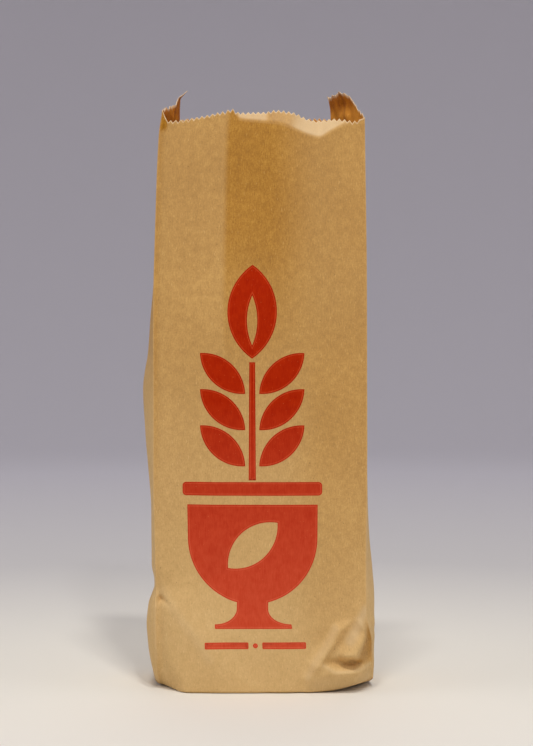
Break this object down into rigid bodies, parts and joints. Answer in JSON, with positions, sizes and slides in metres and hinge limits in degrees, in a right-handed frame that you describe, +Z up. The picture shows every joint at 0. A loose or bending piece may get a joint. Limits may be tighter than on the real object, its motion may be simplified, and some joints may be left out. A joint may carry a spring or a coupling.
{
  "type": "paper pharmacy bag",
  "caption": "Side-gusseted brown kraft paper bag with a saw-cut rim and a plain red mortar print, standing open; folds flat.",
  "frame": {"origin": "on the surface the bag stands on, under the middle of its base", "axes": "+Z up to the mouth; the printed front faces -Y; +X to the right as the front is looked at"},
  "size_m": [0.095, 0.057, 0.267],
  "materials": {
    "kraft": "matte, fibrous",
    "ink": "matte, soaked in",
    "glue": "dried paste"
  },
  "bodies": {
    "base_rear": {"base_rear_flap": "kraft", "base_hem": "kraft", "base_hem_glue": "glue", "corner_tuck_rear_left": "kraft", "corner_tuck_rear_right": "kraft"},
    "back": {"back_panel_left": "kraft", "back_panel_right": "kraft", "back_seam_glue": "glue"},
    "gusset_left_rear": {"gusset_left_rear": "kraft"},
    "gusset_left_front": {"gusset_left_front": "kraft"},
    "gusset_right_rear": {"gusset_right_rear": "kraft"},
    "gusset_right_front": {"gusset_right_front": "kraft"},
    "front": {"front_panel": "kraft", "printed_mark": "ink"},
    "base_front": {"base_front_flap": "kraft", "corner_tuck_front_left": "kraft", "corner_tuck_front_right": "kraft"}
  },
  "joints": [
    {"name": "back_fold", "type": "hinge", "parent": "base_rear", "child": "back", "pos_m": [0, 0.0285, 0.00016], "axis": [-1, 0, 0], "range_deg": [0, 90]},
    {"name": "left_rear_crease", "type": "hinge", "parent": "back", "child": "gusset_left_rear", "pos_m": [-0.04738, 0.02838, 0.1285], "axis": [0, 0, 1], "range_deg": [0, 86]},
    {"name": "left_centre_crease", "type": "hinge", "parent": "gusset_left_rear", "child": "gusset_left_front", "pos_m": [-0.0475, 0, 0.1285], "axis": [0, 0, 1], "range_deg": [-172, 0]},
    {"name": "left_front_crease", "type": "hinge", "parent": "gusset_left_front", "child": "front", "pos_m": [-0.04738, -0.02838, 0.1285], "axis": [0, 0, 1], "range_deg": [0, 86]},
    {"name": "right_rear_crease", "type": "hinge", "parent": "back", "child": "gusset_right_rear", "pos_m": [0.04738, 0.02838, 0.1285], "axis": [0, 0, 1], "range_deg": [-86, 0]},
    {"name": "right_centre_crease", "type": "hinge", "parent": "gusset_right_rear", "child": "gusset_right_front", "pos_m": [0.0475, 0, 0.1285], "axis": [0, 0, 1], "range_deg": [0, 172]},
    {"name": "front_base_crease", "type": "hinge", "parent": "front", "child": "base_front", "pos_m": [0, -0.0285, 0.00016], "axis": [-1, 0, 0], "range_deg": [0, 82]}
  ],
  "couplings": [
    {"joint": "left_rear_crease", "follows": "back_fold", "ratio": 0.95556},
    {"joint": "left_centre_crease", "follows": "back_fold", "ratio": -1.9111},
    {"joint": "left_front_crease", "follows": "back_fold", "ratio": 0.95556},
    {"joint": "right_rear_crease", "follows": "back_fold", "ratio": -0.95556},
    {"joint": "right_centre_crease", "follows": "back_fold", "ratio": 1.9111},
    {"joint": "front_base_crease", "follows": "back_fold", "ratio": 0.91111}
  ]
}
